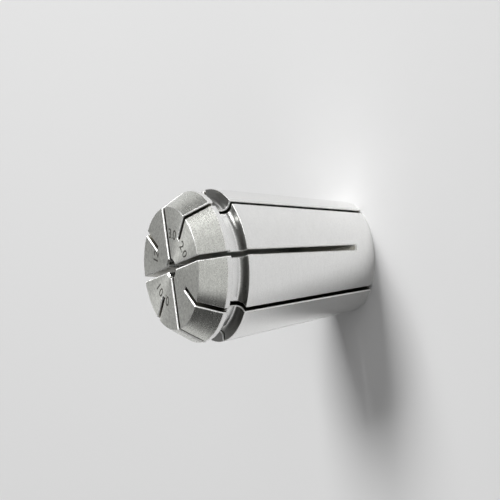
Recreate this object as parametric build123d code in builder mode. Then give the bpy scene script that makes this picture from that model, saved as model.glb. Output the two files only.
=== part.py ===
"""Spring collet, size ER25, bored 3 mm: one piece of turned, slotted and ground spring steel.

Frame: the origin is the centre of the small back end, +Z runs along the axis to the front face,
and one of the four front slots faces -Y. Sizes are in millimetres and angles in degrees.
"""

import os
from math import cos, hypot, radians, sin, sqrt, tan

from build123d import *

# Overall form
LENGTH = 34.0
BODY_DIAMETER = 26.0  # large end of the long taper
BODY_TAPER = 8.0  # half angle of the long taper, which seats in the holder
SHOULDER_LAND = 0.4  # narrow cylinder where the long taper starts
NOSE_DIAMETER = 25.6
NOSE_TAPER = 30.0  # half angle of the nose cone, which the nut presses on
NOSE_LENGTH = 5.0  # front face to groove
NOSE_LAND = 0.8  # short cylinder between the nose cone and the groove

# Groove that the nut's eccentric ring hooks into
GROOVE_DIAMETER = 22.0
GROOVE_WIDTH = 3.1
GROOVE_FILLET = 1.0

# Bore: a ground grip in front and a drilled relief behind it
BORE_DIAMETER = 3.0
GRIP_LENGTH = 15.0  # front face to the end of the grip
RELIEF_DIAMETER = 8.0
DRILL_POINT = 118.0  # full angle of the drill point that ends the relief

# Slots, sawn in turn from the front and from the back
SLOTS_PER_END = 4
SLOT_WIDTH = 0.8
SAW_DIAMETER = 63.0
FRONT_SLOT_MARGIN = 3.7  # taper left whole between the front slots and the back end
REAR_SLOT_WEB = 5.9  # radius on the front face inside which the rear slots leave the steel whole

# Broken edges
MOUTH_CHAMFER = 0.25  # front end of the bore
RELIEF_CHAMFER = 0.5
SLOT_BREAK = 0.15  # slot edges outside the bore

# Sizes that follow from the ones above
body_radius = BODY_DIAMETER / 2
nose_radius = NOSE_DIAMETER / 2
groove_radius = GROOVE_DIAMETER / 2
bore_radius = BORE_DIAMETER / 2
relief_radius = RELIEF_DIAMETER / 2
saw_radius = SAW_DIAMETER / 2

nose_back = LENGTH - NOSE_LENGTH
nose_rim = nose_back + NOSE_LAND
shoulder = nose_back - GROOVE_WIDTH
taper_start = shoulder - SHOULDER_LAND
grip_end = LENGTH - GRIP_LENGTH
relief_depth = grip_end - (relief_radius - bore_radius) / tan(radians(DRILL_POINT / 2))

back_radius = body_radius - shoulder * tan(radians(BODY_TAPER))
shoulder_radius = body_radius - SHOULDER_LAND * tan(radians(BODY_TAPER))
face_radius = nose_radius - (LENGTH - nose_rim) * tan(radians(NOSE_TAPER))
slot_end_radius = back_radius + FRONT_SLOT_MARGIN * tan(radians(BODY_TAPER))


def saw_run_out(radius):
    """Distance along the axis from the saw's centre to where its edge has risen to this radius."""
    return sqrt(saw_radius**2 - (saw_radius - radius) ** 2)


def saw_cut(angle, start, stop):
    """Saw one slot: the blade just reaches the axis, and its centre travels from start to stop."""
    outward = (cos(radians(angle)), sin(radians(angle)), 0)
    across = (sin(radians(angle)), -cos(radians(angle)), 0)
    with BuildSketch(Plane(origin=(0, 0, 0), x_dir=outward, z_dir=across)) as sweep:
        with Locations((saw_radius, (start + stop) / 2)):
            SlotCenterToCenter(abs(stop - start), SAW_DIAMETER, rotation=90)
    extrude(sweep.sketch, amount=SLOT_WIDTH / 2, both=True, mode=Mode.SUBTRACT)


def clear_of_bore(edge):
    """Whether an edge lies outside the relief, where a file can reach it."""
    middle = edge.center()
    return hypot(middle.X, middle.Y) > relief_radius + RELIEF_CHAMFER


with BuildPart() as collet_body:
    # Turned blank: back end, long taper, groove, land, nose cone and front face
    with BuildSketch(Plane.XZ) as section:
        with BuildLine():
            Polyline(
                (0, 0),
                (back_radius, 0),
                (shoulder_radius, taper_start),
                (shoulder_radius, shoulder),
                (groove_radius, shoulder),
                (groove_radius, nose_back),
                (nose_radius, nose_back),
                (nose_radius, nose_rim),
                (face_radius, LENGTH),
                (0, LENGTH),
                close=True,
            )
        make_face()
        groove_corners = section.vertices().filter_by_position(Axis.X, groove_radius, groove_radius)
        fillet(groove_corners, GROOVE_FILLET)
    revolve(axis=Axis.Z)

    # Bore: chamfered mouth, grip, drill point and relief
    with BuildSketch(Plane.XZ):
        with BuildLine():
            Polyline(
                (0, 0),
                (relief_radius + RELIEF_CHAMFER, 0),
                (relief_radius, RELIEF_CHAMFER),
                (relief_radius, relief_depth),
                (bore_radius, grip_end),
                (bore_radius, LENGTH - MOUTH_CHAMFER),
                (bore_radius + MOUTH_CHAMFER, LENGTH),
                (0, LENGTH),
                close=True,
            )
        make_face()
    revolve(axis=Axis.Z, mode=Mode.SUBTRACT)

    # Slots: front ones stop short of the back end, rear ones leave a web at the front face
    front_stop = FRONT_SLOT_MARGIN + saw_run_out(slot_end_radius)
    rear_stop = LENGTH - saw_run_out(REAR_SLOT_WEB)
    pitch = 360 / SLOTS_PER_END
    for turn in range(SLOTS_PER_END):
        saw_cut(turn * pitch, LENGTH + SAW_DIAMETER, front_stop)
        saw_cut((turn + 0.5) * pitch, -SAW_DIAMETER, rear_stop)

    # Slot edges broken after sawing
    sawn_edges = collet_body.edges().filter_by(GeomType.CIRCLE, reverse=True)
    chamfer(sawn_edges.filter_by(clear_of_bore), SLOT_BREAK)

collet_body.part.label = "collet_body"

os.makedirs("parts", exist_ok=True)
export_step(collet_body.part, "parts/collet_body.step")
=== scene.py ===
"""Spring collet: ground spring steel, size marks, pale studio."""

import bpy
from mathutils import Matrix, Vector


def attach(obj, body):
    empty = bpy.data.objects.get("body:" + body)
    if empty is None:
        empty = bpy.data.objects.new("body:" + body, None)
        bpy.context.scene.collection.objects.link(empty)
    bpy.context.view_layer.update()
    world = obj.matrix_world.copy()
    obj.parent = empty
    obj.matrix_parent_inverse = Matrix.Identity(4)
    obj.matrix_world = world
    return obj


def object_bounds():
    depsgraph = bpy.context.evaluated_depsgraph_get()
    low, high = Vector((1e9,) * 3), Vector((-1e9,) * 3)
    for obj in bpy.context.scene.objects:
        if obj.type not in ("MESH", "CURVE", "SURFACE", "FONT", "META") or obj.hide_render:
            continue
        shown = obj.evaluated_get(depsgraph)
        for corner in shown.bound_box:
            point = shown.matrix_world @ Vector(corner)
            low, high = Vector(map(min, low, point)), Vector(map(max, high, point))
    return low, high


bl_info = {
    "name": "Spring collet finish",
    "version": (1, 0, 0),
    "blender": (4, 5, 0),
    "location": "3D View > Sidebar > Collet",
    "description": "Ground steel finish, size marks and a pale studio for a spring collet",
    "category": "Object",
}

import math

import bpy
import numpy as np
from mathutils import Matrix, Vector

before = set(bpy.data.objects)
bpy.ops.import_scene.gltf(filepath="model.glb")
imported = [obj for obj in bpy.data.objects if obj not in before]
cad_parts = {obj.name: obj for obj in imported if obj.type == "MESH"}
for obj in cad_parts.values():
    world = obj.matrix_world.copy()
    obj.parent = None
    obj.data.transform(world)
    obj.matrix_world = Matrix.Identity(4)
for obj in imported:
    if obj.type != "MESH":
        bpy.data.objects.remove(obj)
cad_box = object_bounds()

MM = 0.001
COLLET = "collet_body"
STEEL_SLOT = "ground_steel"
GRAIN_GROUP = "turned_grain"

# Heights on the collet, whose back end stands on z = 0
SHOULDER = 25.9 * MM  # rear wall of the nut groove
NOSE_BACK = 29.0 * MM  # front wall of the nut groove
LENGTH = cad_box[1].z  # front face

# Noise of the steel: scale, detail and roughness. Lines and bands have one scale round the axis and
# another along it, so that of their noise is 1.
LINES_PER_METRE = 6000
LINES_ROUND = 5.0
LINES = (1, 3, 0.6)
BANDS_PER_METRE = 900
BANDS_ROUND = 1.3
BANDS = (1, 2, 0.5)
GRAIN = (4000, 2, 0.6)
MOTTLE = (1500, 2, 0.6)
HAZE = (140, 3, 0.55)
SAW_LINES = (5000, 3, 0.7)
RADIUS_SHARE = 0.7  # share of the radius that counts as height, so that flat faces have lines too

# How far each noise moves the steel's colour, as a share of it, and its roughness from end to end
LINE_SHADE, GRAIN_SHADE, MOTTLE_SHADE, HAZE_SHADE = 0.5, 0.8, 0.8, 0.07
UNEVEN = (("Bands", 0.05), ("Haze", 0.08), ("Grain", 0.05))
FINE_SHARE = 0.35  # share of the lines and grain that the finely ground long taper shows
SAW_DEPTH = 4  # saw lines are this many times as high as grinding lines

# Rounded edges, whose strips also get a painted highlight: the cosine of a normal's turn at which
# their strip starts, and at which it is full
EDGE_TURN = (0.998, 0.97)
EDGE_SAMPLES = 6

# Lasered figures: how far grain and lines move their colour, and grain their roughness
BURN_GRAIN, BURN_LINES, BURN_UNEVEN = 1.2, 0.8, 0.2
BURN_ROUGHNESS = 0.5

# Figures and where each stands round the axis, in degrees: clamping range, lot and run-out
MARKS = {
    "range_mark": (("3", -13), (".", -21), ("0", -29), ("2", -60), (".", -68), ("0", -76)),
    "lot_mark": (("1", 66), ("2", 55)),
    "runout_mark": (("0", 149), (".", 142), ("0", 123), ("1", 111)),
}

# Floor: its rings and spokes, its gloss, and where its lit colour fades to the even one far off
FLOOR_RINGS, FLOOR_SPOKES = 12, 96
FLOOR_ROUGHNESS, FLOOR_SPECULAR = 0.7, 0.2
FLOOR_FADE = (0.1, 0.45)

# Softboxes: azimuth and elevation in degrees, then distance, width and height
SOFTBOXES = {
    "key": (96, 50, 0.9, 0.42, 0.45),
    "top": (16, 72, 1.1, 0.45, 0.6),
}

# Walls of the room: azimuth, the half widths in degrees at which each ends and is full, and the
# rise of its top. Rise is 0 at the floor's level and 1 straight up.
WALLS = {
    "window": (0, 75, 40, 0.62),
    "strip": (171, 24, 8, 0.85),
    "right_wall": (118, 30, 12, 0.25),
    "left_wall": (-100, 48, 25, 0.5),
}
WALL_FADE = 0.15  # rise over which a wall's top fades
CEILING_RISE = (0.4, 0.8)  # rise over which the room turns to ceiling


# ---------------------------------------------------------------- settings


class SteelSettings(bpy.types.PropertyGroup):
    """Colours, roughness and tool marks of the steel."""

    # Partly the fine grind, partly a painted sheen: the long taper gets a lighter colour than bare
    # steel, for its bright reflections
    taper_and_sheen_colour: bpy.props.FloatVectorProperty(
        name="Taper", description="Reflection colour of the finely ground long taper",
        subtype="COLOR", size=3, min=0, max=1, default=(0.88, 0.88, 0.87))
    nose_colour: bpy.props.FloatVectorProperty(
        name="Nose", description="Reflection colour of the nose cone and front face",
        subtype="COLOR", size=3, min=0, max=1, default=(0.68, 0.685, 0.645))
    # Painted shade: the turned walls in the nut groove get a dark colour that stands in for the
    # shade inside the groove
    groove_shade_colour: bpy.props.FloatVectorProperty(
        name="Groove walls", description="Reflection colour of the turned walls of the nut groove",
        subtype="COLOR", size=3, min=0, max=1, default=(0.26, 0.26, 0.25))
    # Partly the duller sawn finish, partly painted shade: the slot walls and slot ends get a dark
    # colour for the shade deep in the slots
    sawn_and_shade_colour: bpy.props.FloatVectorProperty(
        name="Slot walls", description="Reflection colour of the sawn slot walls",
        subtype="COLOR", size=3, min=0, max=1, default=(0.32, 0.31, 0.27))
    # Painted highlight: the rounded edges and broken slot edges get a light colour that stands in
    # for the bright lines of light along them
    edge_highlight_colour: bpy.props.FloatVectorProperty(
        name="Broken edges", description="Reflection colour of the highlighted edges",
        subtype="COLOR", size=3, min=0, max=1, default=(0.94, 0.94, 0.92))
    taper_roughness: bpy.props.FloatProperty(
        name="Taper roughness", description="Roughness of the long taper",
        subtype="FACTOR", default=0.19, min=0, max=1)
    nose_roughness: bpy.props.FloatProperty(
        name="Nose roughness", description="Roughness of the nose cone",
        subtype="FACTOR", default=0.27, min=0, max=1)
    face_roughness: bpy.props.FloatProperty(
        name="Face roughness", description="Roughness of the front face",
        subtype="FACTOR", default=0.34, min=0, max=1)
    sawn_roughness: bpy.props.FloatProperty(
        name="Slot roughness", description="Roughness of the slot walls and groove walls",
        subtype="FACTOR", default=0.3, min=0, max=1)
    edge_roughness: bpy.props.FloatProperty(
        name="Edge roughness", description="Roughness of the highlighted edges",
        subtype="FACTOR", default=0.5, min=0, max=1)
    edge_radius: bpy.props.FloatProperty(
        name="Edge radius", description="Radius of the highlighted edges",
        unit="LENGTH", default=0.15 * MM)
    streak: bpy.props.FloatProperty(
        name="Streak", description="How far highlights spread across the grinding lines",
        subtype="FACTOR", default=0.7, min=0, max=1)
    line_height: bpy.props.FloatProperty(
        name="Line height", description="Height of the grinding lines",
        unit="LENGTH", default=0.0006 * MM)
    saw_diameter: bpy.props.FloatProperty(
        name="Saw", description="Diameter of the blade that left the arcs in the slots",
        unit="LENGTH", default=63 * MM)


class MarkSettings(bpy.types.PropertyGroup):
    """Numbers lasered on the front face."""

    height: bpy.props.FloatProperty(
        name="Height", description="Height of a figure", unit="LENGTH", default=1.7 * MM)
    radius: bpy.props.FloatProperty(
        name="Radius", description="Axis to the middle of the figures",
        unit="LENGTH", default=5.95 * MM)
    weight: bpy.props.FloatProperty(
        name="Weight", description="How far each side of a stroke is moved out, at a type size of 1",
        default=0.010)
    lift: bpy.props.FloatProperty(
        name="Lift", description="Height of the marks above the face",
        unit="LENGTH", default=0.003 * MM)
    colour: bpy.props.FloatVectorProperty(
        name="Burn", description="Colour of the lasered steel",
        subtype="COLOR", size=3, min=0, max=1, default=(0.10, 0.095, 0.085))


class StageSettings(bpy.types.PropertyGroup):
    """Camera, floor and light."""

    lens: bpy.props.FloatProperty(
        name="Lens", description="Focal length of the camera in millimetres",
        unit="CAMERA", default=268.2)
    azimuth: bpy.props.FloatProperty(
        name="Azimuth", description="Where the camera stands round the axis, 0 is at -Y",
        subtype="ANGLE", default=math.radians(-8.58))
    elevation: bpy.props.FloatProperty(
        name="Elevation", description="How far the camera looks down",
        subtype="ANGLE", default=math.radians(27.295))
    roll: bpy.props.FloatProperty(
        name="Roll", description="Turn of the camera about its view, so the axis lies across",
        subtype="ANGLE", default=math.radians(93.817))
    distance: bpy.props.FloatProperty(
        name="Distance", description="Camera to aim point", unit="LENGTH", default=0.6324)
    aim: bpy.props.FloatVectorProperty(
        name="Aim", description="Point in the middle of the picture",
        subtype="TRANSLATION", unit="LENGTH", size=3, default=(0.00218, -0.00033, 0.01889))
    floor_colour: bpy.props.FloatVectorProperty(
        name="Floor", description="Colour of the floor and sweep",
        subtype="COLOR", size=3, min=0, max=1, default=(0.60, 0.60, 0.60))
    backdrop: bpy.props.FloatProperty(
        name="Backdrop", description="Brightness of the floor seen far off, 1 is white",
        default=0.74)
    floor_radius: bpy.props.FloatProperty(
        name="Floor radius", description="Flat part of the floor", unit="LENGTH", default=1.2)
    sweep_height: bpy.props.FloatProperty(
        name="Sweep height", description="Height of the curved rim", unit="LENGTH", default=0.15)
    key_light: bpy.props.FloatProperty(
        name="Key light", description="Brightness of the side softbox, 1 is white", default=16)
    top_light: bpy.props.FloatProperty(
        name="Top light", description="Brightness of the overhead softbox, 1 is white", default=1.2)
    window: bpy.props.FloatProperty(
        name="Window", description="Brightness of the pale side of the room", default=0.75)
    strip: bpy.props.FloatProperty(
        name="Strip", description="Brightness of the pale strip behind", default=0.42)
    right_wall: bpy.props.FloatProperty(
        name="Right wall", description="Brightness of the low wall on the right", default=0.08)
    left_wall: bpy.props.FloatProperty(
        name="Left wall", description="Brightness of the dim wall on the left", default=0.04)
    room: bpy.props.FloatProperty(
        name="Room", description="Brightness of the room near the floor", default=0.28)
    ceiling: bpy.props.FloatProperty(
        name="Ceiling", description="Brightness of the ceiling", default=0.14)


SETTINGS = (
    ("collet_steel", SteelSettings),
    ("collet_marks", MarkSettings),
    ("collet_stage", StageSettings),
)


# ---------------------------------------------------------------- helpers


class Graph:
    """Adds nodes to a tree: inputs are given as sockets to link or as plain values to set."""

    def __init__(self, tree):
        self.tree = tree

    def node(self, kind, *inputs, **settings):
        made = self.tree.nodes.new(kind)
        for name, value in settings.items():
            setattr(made, name, value)
        for socket, value in zip(made.inputs, inputs):
            self.feed(socket, value)
        return made

    def feed(self, socket, value):
        if isinstance(value, bpy.types.NodeSocket):
            self.tree.links.new(value, socket)
        elif value is not None:
            socket.default_value = value

    def math(self, operation, *values):
        """One value made of all of these; more than two are taken in turn."""
        made = self.node("ShaderNodeMath", *values[:2], operation=operation).outputs[0]
        return self.math(operation, made, *values[2:]) if len(values) > 2 else made

    def vector(self, operation, *values):
        made = self.node("ShaderNodeVectorMath", *values, operation=operation)
        return made.outputs["Value" if operation in ("DOT_PRODUCT", "LENGTH") else "Vector"]

    def step(self, value, low, high, to_low=0.0, to_high=1.0):
        """Smooth rise from to_low to to_high as the value goes from low to high."""
        made = self.node("ShaderNodeMapRange", value, low, high, to_low, to_high,
                         interpolation_type="SMOOTHSTEP")
        return made.outputs["Result"]

    def noise(self, place, scale, detail, roughness):
        """Noise from 0 to 1 about 0.5."""
        made = self.node("ShaderNodeTexNoise", place)
        for name, value in (("Scale", scale), ("Detail", detail), ("Roughness", roughness)):
            made.inputs[name].default_value = value
        return made.outputs["Fac"]

    def blend(self, amount, below, above):
        """Mix of two colours."""
        made = self.node("ShaderNodeMix", data_type="RGBA")
        sockets = made.inputs[0], made.inputs[6], made.inputs[7]
        for socket, value in zip(sockets, (amount, below, above)):
            self.feed(socket, value)
        return made.outputs[2]

    def mix(self, amount, below, above):
        """Mix of two values."""
        return self.node("ShaderNodeMix", amount, None, below, above).outputs[0]

    def height(self, vector):
        """The part of a place or normal that points along the axis."""
        return self.node("ShaderNodeSeparateXYZ", vector).outputs["Z"]

    def flat(self, vector):
        """A place or direction without its part along the axis."""
        return self.vector("MULTIPLY", vector, (1, 1, 0))

    def upright(self, value):
        """A vector along the axis, this long."""
        return self.node("ShaderNodeCombineXYZ", 0.0, 0.0, value).outputs[0]

    def about_zero(self, value, size):
        """A value about 0.5 made one about zero, of this size from end to end."""
        return self.math("MULTIPLY", self.math("SUBTRACT", value, 0.5), size)


def new_material(name):
    """An empty node material and its graph."""
    material = bpy.data.materials.new(name)
    material.use_nodes = True
    material.node_tree.nodes.clear()
    return material, Graph(material.node_tree)


def new_group(name, inputs, outputs):
    """A shader node group with named sockets: its tree, graph, given inputs and outputs to feed."""
    tree = bpy.data.node_groups.new(name, "ShaderNodeTree")
    for title, kind in inputs:
        tree.interface.new_socket(title, in_out="INPUT", socket_type=kind)
    for title, kind in outputs:
        tree.interface.new_socket(title, in_out="OUTPUT", socket_type=kind)
    graph = Graph(tree)
    given, out = graph.node("NodeGroupInput").outputs, graph.node("NodeGroupOutput").inputs
    return tree, graph, given, out


def grid_mesh(name, points):
    """Mesh of a surface given as points on a grid of rows and columns, closed along the columns."""
    rows, columns, _ = points.shape
    index = np.arange(rows * columns).reshape(rows, columns)
    after = np.roll(index, -1, axis=1)
    faces = np.stack([index[:-1], after[:-1], after[1:], index[1:]], axis=-1).reshape(-1, 4)
    mesh = bpy.data.meshes.new(name)
    mesh.from_pydata(points.reshape(-1, 3).tolist(), [], faces.tolist())
    mesh.polygons.foreach_set("use_smooth", np.ones(len(faces), bool))
    mesh.update()
    return mesh


def add_object(name, data):
    made = bpy.data.objects.new(name, data)
    bpy.context.scene.collection.objects.link(made)
    return made


# ---------------------------------------------------------------- steel


def grain_group():
    """Lines, bands, grain, mottle and haze of turned and ground steel, each a value about 0.5.

    Lines and bands are noise over the direction round the axis, and over height plus a share of the
    radius. That changes fast across the lines and slowly along them, on faces and tapers alike.
    """
    value = "NodeSocketFloat"
    tree, graph, given, out = new_group(
        GRAIN_GROUP, (("Position", "NodeSocketVector"), ("Lines per Metre", value)),
        [(title, value) for title in ("Lines", "Bands", "Grain", "Mottle", "Haze")])
    position = given["Position"]
    flat = graph.flat(position)
    reach = graph.math("MULTIPLY", graph.vector("LENGTH", flat), RADIUS_SHARE)
    across = graph.upright(graph.math("ADD", graph.height(position), reach))
    place = graph.vector("ADD", graph.vector("NORMALIZE", flat), across)
    density = graph.node(
        "ShaderNodeCombineXYZ", LINES_ROUND, LINES_ROUND, given["Lines per Metre"]).outputs[0]
    band_density = (BANDS_ROUND, BANDS_ROUND, BANDS_PER_METRE)
    graph.feed(out["Lines"], graph.noise(graph.vector("MULTIPLY", place, density), *LINES))
    graph.feed(out["Bands"], graph.noise(graph.vector("MULTIPLY", place, band_density), *BANDS))
    graph.feed(out["Grain"], graph.noise(position, *GRAIN))
    graph.feed(out["Mottle"], graph.noise(position, *MOTTLE))
    graph.feed(out["Haze"], graph.noise(position, *HAZE))
    return tree


def place_grain(graph, group, position, lines_per_metre):
    made = graph.node("ShaderNodeGroup", node_tree=group)
    graph.feed(made.inputs["Position"], position)
    made.inputs["Lines per Metre"].default_value = lines_per_metre
    return made.outputs


def saw_lines(graph, position, saw_radius):
    """Noise that is constant along the sweep of a saw tooth.

    The blade just reaches the axis, so its circle through a point at this radius has its centre
    at the point's height plus the root of radius times (blade diameter less radius).
    """
    radius = graph.vector("LENGTH", graph.flat(position))
    rest = graph.math("SUBTRACT", 2 * saw_radius, radius)
    rise = graph.math("SQRT", graph.math("MULTIPLY", radius, rest))
    sweep = graph.math("ADD", graph.height(position), rise)
    return graph.noise(graph.upright(sweep), *SAW_LINES)


def rounded_edges(graph, normal, edge_radius):
    """Normals turned over the edges as if these were rounded, and a mask of the rounded strips."""
    bevel = graph.node("ShaderNodeBevel", samples=EDGE_SAMPLES)
    bevel.inputs["Radius"].default_value = edge_radius
    rounded = bevel.outputs["Normal"]
    return rounded, graph.step(graph.vector("DOT_PRODUCT", rounded, normal), *EDGE_TURN)


def steel_masks(graph, position, normal, turn):
    """Masks of the nose, front face, groove walls, slot walls, slot ends and slot edges.

    They are told apart by height and by the way they face. A turned surface has no part of its
    normal along the turn, so what has is a slot wall, and a broken slot edge has some of it.
    """
    height = graph.height(position)
    facing = graph.height(normal)
    along_turn = graph.math("ABSOLUTE", graph.vector("DOT_PRODUCT", normal, turn))
    nose = graph.step(facing, 0.2, 0.4)
    face = graph.math(
        "MULTIPLY", graph.step(facing, 0.9, 0.98),
        graph.step(height, LENGTH - 0.3 * MM, LENGTH - 0.2 * MM))
    wall = graph.math(
        "MULTIPLY", graph.step(height, SHOULDER - 0.02 * MM, SHOULDER - 0.01 * MM),
        graph.step(height, NOSE_BACK + 0.02 * MM, NOSE_BACK + 0.01 * MM),
        graph.step(graph.math("ABSOLUTE", facing), 0.15, 0.5))
    sawn = graph.step(along_turn, 0.8, 0.95)
    slot_end = graph.math(
        "MULTIPLY", graph.step(facing, 0.3, 0.4),
        graph.step(height, SHOULDER - 0.2 * MM, SHOULDER - 0.3 * MM))
    slot_edge = graph.math(
        "MULTIPLY", graph.step(along_turn, 0.5, 0.6), graph.step(along_turn, 0.85, 0.8))
    return nose, face, wall, sawn, slot_end, slot_edge


def steel_material(settings, grain):
    """Bright ground steel: each surface of the collet has its own colour, roughness and lines; the
    colours also hold painted shade in the groove and slots, a painted highlight on the edges and a
    painted sheen on the taper.
    """
    material, graph = new_material(STEEL_SLOT)
    position = graph.node("ShaderNodeTexCoord").outputs["Object"]
    normal = graph.node("ShaderNodeNewGeometry").outputs["Normal"]
    outward = graph.vector("NORMALIZE", graph.flat(position))
    turn = graph.vector("CROSS_PRODUCT", (0, 0, 1), outward)
    nose, face, wall, sawn, slot_end, slot_edge = steel_masks(graph, position, normal, turn)
    rounded, edge = rounded_edges(graph, normal, settings.edge_radius)
    # Rounded edges and broken slot edges share the painted highlight colour
    edge = graph.math("MAXIMUM", edge, slot_edge)

    marks = place_grain(graph, grain, position, LINES_PER_METRE)
    saw = saw_lines(graph, position, settings.saw_diameter / 2)
    lines = graph.mix(sawn, marks["Lines"], saw)
    coarse = graph.mix(nose, FINE_SHARE, 1.0)

    # Taper colour: the fine grind lightened further as a painted sheen
    colour = (*settings.taper_and_sheen_colour, 1)
    for mask, above in (
            # Groove walls: dark colour as painted shade inside the nut groove
            (nose, settings.nose_colour), (wall, settings.groove_shade_colour),
            # Slot walls and ends: the sawn finish darkened further as painted shade in the slots
            (graph.math("MAXIMUM", sawn, slot_end), settings.sawn_and_shade_colour),
            # Edges: light colour as a painted highlight
            (edge, settings.edge_highlight_colour)):
        colour = graph.blend(mask, colour, (*above, 1))
    mottle = graph.math("MULTIPLY", face, graph.about_zero(marks["Mottle"], MOTTLE_SHADE))
    shade = graph.math("ADD", graph.about_zero(lines, LINE_SHADE),
                       graph.about_zero(marks["Grain"], GRAIN_SHADE), mottle)
    shade = graph.math("ADD", graph.math("MULTIPLY", shade, coarse),
                       graph.about_zero(marks["Haze"], HAZE_SHADE), 1.0)
    tint = graph.vector("MULTIPLY", colour, shade)

    roughness = settings.taper_roughness
    for mask, above in (
            (nose, settings.nose_roughness), (face, settings.face_roughness),
            (graph.math("MAXIMUM", sawn, wall), settings.sawn_roughness),
            (edge, settings.edge_roughness)):
        roughness = graph.mix(mask, roughness, above)
    for title, size in UNEVEN:
        roughness = graph.math("ADD", roughness, graph.about_zero(marks[title], size))

    ground = settings.line_height
    line_relief = graph.math("MULTIPLY", lines, graph.mix(sawn, ground, SAW_DEPTH * ground))
    grain_relief = graph.math("MULTIPLY", marks["Grain"], ground)
    relief = graph.math("MULTIPLY", graph.math("ADD", line_relief, grain_relief), coarse)
    relief = graph.math("ADD", relief, graph.math("MULTIPLY", marks["Bands"], ground))
    bump = graph.node("ShaderNodeBump")
    bump.inputs["Distance"].default_value = 1
    graph.feed(bump.inputs["Height"], relief)
    graph.feed(bump.inputs["Normal"], rounded)

    # Highlights spread across the lines: the tangent runs up the surface, or along the axis in slots
    tangent = graph.vector("ADD", graph.vector("CROSS_PRODUCT", normal, turn), graph.upright(sawn))
    shader = graph.node("ShaderNodeBsdfPrincipled")
    shader.inputs["Metallic"].default_value = 1
    shader.inputs["Anisotropic"].default_value = settings.streak
    for name, value in (("Base Color", tint), ("Roughness", roughness),
                        ("Normal", bump.outputs["Normal"]), ("Tangent", tangent)):
        graph.feed(shader.inputs[name], value)
    graph.node("ShaderNodeOutputMaterial", shader.outputs["BSDF"])
    return material


class COLLET_OT_steel(bpy.types.Operator):
    """Give the collet its ground steel"""

    bl_idname = "collet.steel"
    bl_label = "Ground steel"

    def execute(self, context):
        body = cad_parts[COLLET]
        steel = steel_material(context.scene.collet_steel, grain_group())
        body.material_slots[0].material = steel
        return {"FINISHED"}


# ---------------------------------------------------------------- marks


def figure_mesh(figure, weight):
    """Corners and triangles of one flat figure, on its baseline at a type size of 1."""
    curve = bpy.data.curves.new("figure", "FONT")
    curve.body = figure
    curve.offset = weight
    carrier = bpy.data.objects.new("figure", curve)
    mesh = bpy.data.meshes.new_from_object(carrier)
    mesh.calc_loop_triangles()
    corners = np.empty(len(mesh.vertices) * 3)
    mesh.vertices.foreach_get("co", corners)
    triangles = np.empty(len(mesh.loop_triangles) * 3, int)
    mesh.loop_triangles.foreach_get("vertices", triangles)
    bpy.data.objects.remove(carrier)
    bpy.data.curves.remove(curve)
    bpy.data.meshes.remove(mesh)
    return corners.reshape(-1, 3)[:, :2], triangles.reshape(-1, 3)


def bent_figure(corners, angle, scale, settings):
    """A figure bent round the axis, top outwards: width becomes turn and height becomes radius."""
    middle = (corners[:, 0].min() + corners[:, 0].max()) / 2
    radius = settings.radius - settings.height / 2 + corners[:, 1] * scale
    turned = math.radians(angle) - (corners[:, 0] - middle) * scale / settings.radius
    level = np.full(len(corners), LENGTH + settings.lift)
    return np.stack([radius * np.cos(turned), radius * np.sin(turned), level], axis=-1)


def mark_mesh(name, figures, settings):
    """One flat mesh of the figures, which stand at their angles round the axis."""
    tall = figure_mesh("0", settings.weight)[0][:, 1]
    scale = settings.height / (tall.max() - tall.min())
    points, faces, count = [], [], 0
    for figure, angle in figures:
        corners, triangles = figure_mesh(figure, settings.weight)
        points.append(bent_figure(corners, angle, scale, settings))
        faces.append(triangles + count)
        count += len(corners)
    mesh = bpy.data.meshes.new(name)
    mesh.from_pydata(np.concatenate(points).tolist(), [], np.concatenate(faces).tolist())
    mesh.update()
    return mesh


def mark_material(settings, grain):
    """Steel darkened by the laser, uneven like the ground surface under it."""
    material, graph = new_material("lasered_steel")
    position = graph.node("ShaderNodeTexCoord").outputs["Object"]
    marks = place_grain(graph, grain, position, LINES_PER_METRE)
    burn = graph.math("ADD", graph.about_zero(marks["Grain"], BURN_GRAIN), 1.0,
                      graph.about_zero(marks["Lines"], BURN_LINES))
    roughness = graph.math("ADD", graph.about_zero(marks["Grain"], BURN_UNEVEN), BURN_ROUGHNESS)
    shader = graph.node("ShaderNodeBsdfPrincipled")
    shader.inputs["Metallic"].default_value = 1
    colour = graph.vector("MULTIPLY", tuple(settings.colour), burn)
    graph.feed(shader.inputs["Base Color"], colour)
    graph.feed(shader.inputs["Roughness"], roughness)
    graph.node("ShaderNodeOutputMaterial", shader.outputs["BSDF"])
    return material


class COLLET_OT_marks(bpy.types.Operator):
    """Laser the numbers on the front face"""

    bl_idname = "collet.marks"
    bl_label = "Size marks"

    def execute(self, context):
        settings = context.scene.collet_marks
        material = mark_material(settings, bpy.data.node_groups[GRAIN_GROUP])
        for name, figures in MARKS.items():
            piece = add_object(name, mark_mesh(name, figures, settings))
            piece.data.materials.append(material)
            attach(piece, "root")
        return {"FINISHED"}


# ---------------------------------------------------------------- stage


def sweep_points(radius, height):
    """Flat disc that curves up at its rim: a quarter turn of radius height past the flat radius."""
    flat = np.linspace(0.0, 1.0, FLOOR_RINGS) ** 2 * radius
    turn = np.linspace(0, math.pi / 2, FLOOR_RINGS)[1:]
    reach = np.concatenate([flat, radius + height * np.sin(turn)])[:, None]
    rise = np.concatenate([0 * flat, height * (1 - np.cos(turn))])[:, None]
    angle = np.linspace(0, 2 * math.pi, FLOOR_SPOKES, endpoint=False)
    return np.stack([reach * np.cos(angle), reach * np.sin(angle), rise + 0 * angle], axis=-1)


def direction(azimuth, elevation):
    """Unit vector from the collet: azimuth 0 is towards -Y and a quarter turn is towards +X."""
    level = math.cos(elevation)
    return Vector((math.sin(azimuth) * level, -math.cos(azimuth) * level, math.sin(elevation)))


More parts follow.
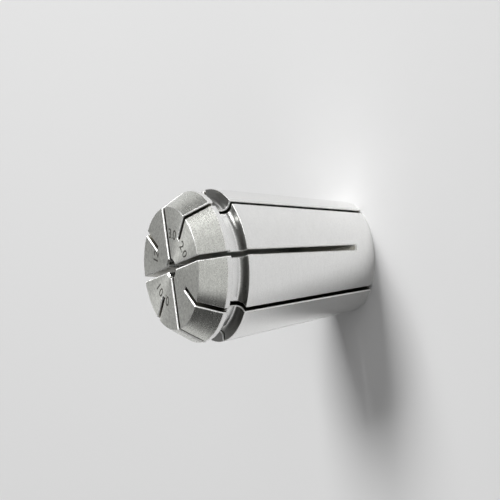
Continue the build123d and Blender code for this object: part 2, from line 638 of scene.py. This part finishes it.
def floor_material(stage):
    """Matt floor that takes the shadow near the collet and is seen evenly pale far from it."""
    material, graph = new_material("pale_floor")
    shader = graph.node("ShaderNodeBsdfPrincipled")
    shader.inputs["Base Color"].default_value = (*stage.floor_colour, 1)
    shader.inputs["Roughness"].default_value = FLOOR_ROUGHNESS
    shader.inputs["Specular IOR Level"].default_value = FLOOR_SPECULAR
    distance = graph.vector("LENGTH", graph.node("ShaderNodeTexCoord").outputs["Object"])
    ray = graph.node("ShaderNodeLightPath").outputs
    seen = graph.math(
        "MAXIMUM", ray["Is Camera Ray"], ray["Is Glossy Ray"], ray["Is Transmission Ray"])
    far = graph.math("MULTIPLY", seen, graph.step(distance, *FLOOR_FADE))
    pale = graph.node("ShaderNodeEmission", None, stage.backdrop)
    mixed = graph.node("ShaderNodeMixShader", far, shader.outputs["BSDF"], pale.outputs[0])
    graph.node("ShaderNodeOutputMaterial", mixed.outputs[0])
    return material


def add_camera(stage):
    """Camera that looks at the aim point and is rolled about its view."""
    back = direction(stage.azimuth, stage.elevation)
    level = (-back).cross(Vector((0, 0, 1))).normalized()
    up = level.cross(-back)
    up = up * math.cos(stage.roll) + level * math.sin(stage.roll)
    side = (-back).cross(up)
    camera = add_object("camera", bpy.data.cameras.new("camera"))
    camera.data.lens = stage.lens
    turn = Matrix((side, up, back)).transposed().to_4x4()
    camera.matrix_world = Matrix.Translation(Vector(stage.aim) + back * stage.distance) @ turn
    bpy.context.scene.camera = camera


def add_softbox(name, azimuth, elevation, distance, width, height, brightness):
    """Rectangular lamp that faces the collet; brightness 1 looks white."""
    lamp = bpy.data.lights.new(name, "AREA")
    lamp.shape = "RECTANGLE"
    lamp.size, lamp.size_y = width, height
    lamp.energy = brightness * math.pi * width * height
    back = direction(math.radians(azimuth), math.radians(elevation))
    turn = back.to_track_quat("Z", "Y").to_matrix().to_4x4()
    add_object(name, lamp).matrix_world = Matrix.Translation(back * distance) @ turn


def add_room(stage):
    """World light: the room darkens to the ceiling, and its walls are set over it in turn."""
    world = bpy.data.worlds.new("studio")
    bpy.context.scene.world = world
    world.use_nodes = True
    world.node_tree.nodes.clear()
    graph = Graph(world.node_tree)
    view = graph.node("ShaderNodeTexCoord").outputs["Generated"]
    rise = graph.height(view)
    flat = graph.vector("NORMALIZE", graph.flat(view))
    light = graph.step(rise, *CEILING_RISE, stage.room, stage.ceiling)
    for name, (azimuth, end, full, top) in WALLS.items():
        towards = tuple(direction(math.radians(azimuth), 0))
        across = graph.step(graph.vector("DOT_PRODUCT", flat, towards),
                            math.cos(math.radians(end)), math.cos(math.radians(full)))
        wall = graph.math("MULTIPLY", across, graph.step(rise, top + WALL_FADE, top))
        light = graph.mix(wall, light, getattr(stage, name))
    background = graph.node("ShaderNodeBackground", light)
    graph.node("ShaderNodeOutputWorld", background.outputs[0])


class COLLET_OT_stage(bpy.types.Operator):
    """Build the floor, the light and the camera"""

    bl_idname = "collet.stage"
    bl_label = "Studio"

    def execute(self, context):
        stage = context.scene.collet_stage
        points = sweep_points(stage.floor_radius, stage.sweep_height)
        floor = add_object("floor", grid_mesh("floor", points))
        floor.data.materials.append(floor_material(stage))
        add_camera(stage)
        add_softbox("key", *SOFTBOXES["key"], stage.key_light)
        add_softbox("top", *SOFTBOXES["top"], stage.top_light)
        add_room(stage)
        context.scene.view_settings.view_transform = "Standard"
        return {"FINISHED"}


class COLLET_PT_panel(bpy.types.Panel):
    """Sidebar panel of the collet"""

    bl_idname = "COLLET_PT_panel"
    bl_label = "Collet"
    bl_space_type = "VIEW_3D"
    bl_region_type = "UI"
    bl_category = "Collet"

    def draw(self, context):
        for name, group in SETTINGS:
            settings = getattr(context.scene, name)
            box = self.layout.box()
            for prop in group.__annotations__:
                box.prop(settings, prop)
        for operator in OPERATORS:
            self.layout.operator(operator.bl_idname)


OPERATORS = (COLLET_OT_steel, COLLET_OT_marks, COLLET_OT_stage)
CLASSES = tuple(group for _, group in SETTINGS) + OPERATORS + (COLLET_PT_panel,)


def register():
    for cls in CLASSES:
        bpy.utils.register_class(cls)
    for name, group in SETTINGS:
        setattr(bpy.types.Scene, name, bpy.props.PointerProperty(type=group))


def unregister():
    for name, _ in SETTINGS:
        delattr(bpy.types.Scene, name)
    for cls in reversed(CLASSES):
        bpy.utils.unregister_class(cls)


def main():
    register()
    bpy.ops.collet.steel()
    bpy.ops.collet.marks()
    bpy.ops.collet.stage()


if __name__ == "__main__":
    main()
